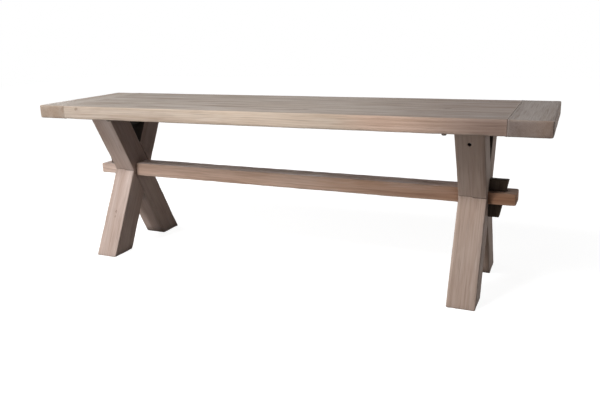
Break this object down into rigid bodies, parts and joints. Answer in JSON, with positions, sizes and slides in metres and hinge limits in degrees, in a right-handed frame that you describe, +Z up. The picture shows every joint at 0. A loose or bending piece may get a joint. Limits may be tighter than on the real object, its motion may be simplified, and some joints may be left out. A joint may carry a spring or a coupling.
{
  "type": "trestle bench",
  "caption": "Long timber bench seat with breadboard ends on crossed-leg trestles, tied by a stretcher whose through tenons are held by loose wedges.",
  "frame": {"origin": "on the floor below the middle of the seat", "axes": "+X along the seat towards the right-hand end, -Y towards the front, +Z up"},
  "size_m": [1.4, 0.35, 0.45],
  "materials": {
    "seat_wood": "weathered grey-brown reclaimed pine, waxed matt",
    "end_wood": "weathered grey-brown reclaimed pine with darker end grain, waxed matt",
    "leg_wood": "weathered grey-brown reclaimed pine, waxed matt",
    "stretcher_wood": "warm brown reclaimed pine, waxed matt",
    "wedge_wood": "near-black stained hardwood, satin",
    "dowel_wood": "plain beech",
    "black_steel": "black powder coat",
    "bolt_steel": "dulled zinc plate",
    "screw_steel": "dark zinc plate",
    "insert_brass": "plain"
  },
  "bodies": {
    "bench": {"board_dowels": "dowel_wood", "left_back_leg": "leg_wood", "left_block_bolt": "bolt_steel", "left_block_screw": "screw_steel", "left_breadboard_end": "end_wood", "left_breadboard_pegs": "dowel_wood", "left_front_leg": "leg_wood", "left_mounting_plate": "black_steel", "left_plate_screws": "screw_steel", "left_seat_bolts": "bolt_steel", "left_spacer_block": "wedge_wood", "left_threaded_inserts": "insert_brass", "left_washers": "bolt_steel", "right_back_leg": "leg_wood", "right_block_bolt": "bolt_steel", "right_block_screw": "screw_steel", "right_breadboard_end": "end_wood", "right_breadboard_pegs": "dowel_wood", "right_front_leg": "leg_wood", "right_mounting_plate": "black_steel", "right_plate_screws": "screw_steel", "right_seat_bolts": "bolt_steel", "right_spacer_block": "wedge_wood", "right_threaded_inserts": "insert_brass", "right_washers": "bolt_steel", "seat_board_back": "seat_wood", "seat_board_front": "seat_wood", "seat_board_middle": "seat_wood", "stretcher": "stretcher_wood"},
    "left_key": {"left_wedge": "wedge_wood"},
    "right_key": {"right_wedge": "wedge_wood"}
  },
  "joints": [
    {"name": "left_wedge_lift", "type": "slide", "parent": "bench", "child": "left_key", "axis": [0, 0, 1], "range_m": [0, 0.07]},
    {"name": "right_wedge_lift", "type": "slide", "parent": "bench", "child": "right_key", "axis": [0, 0, 1], "range_m": [0, 0.07]}
  ]
}
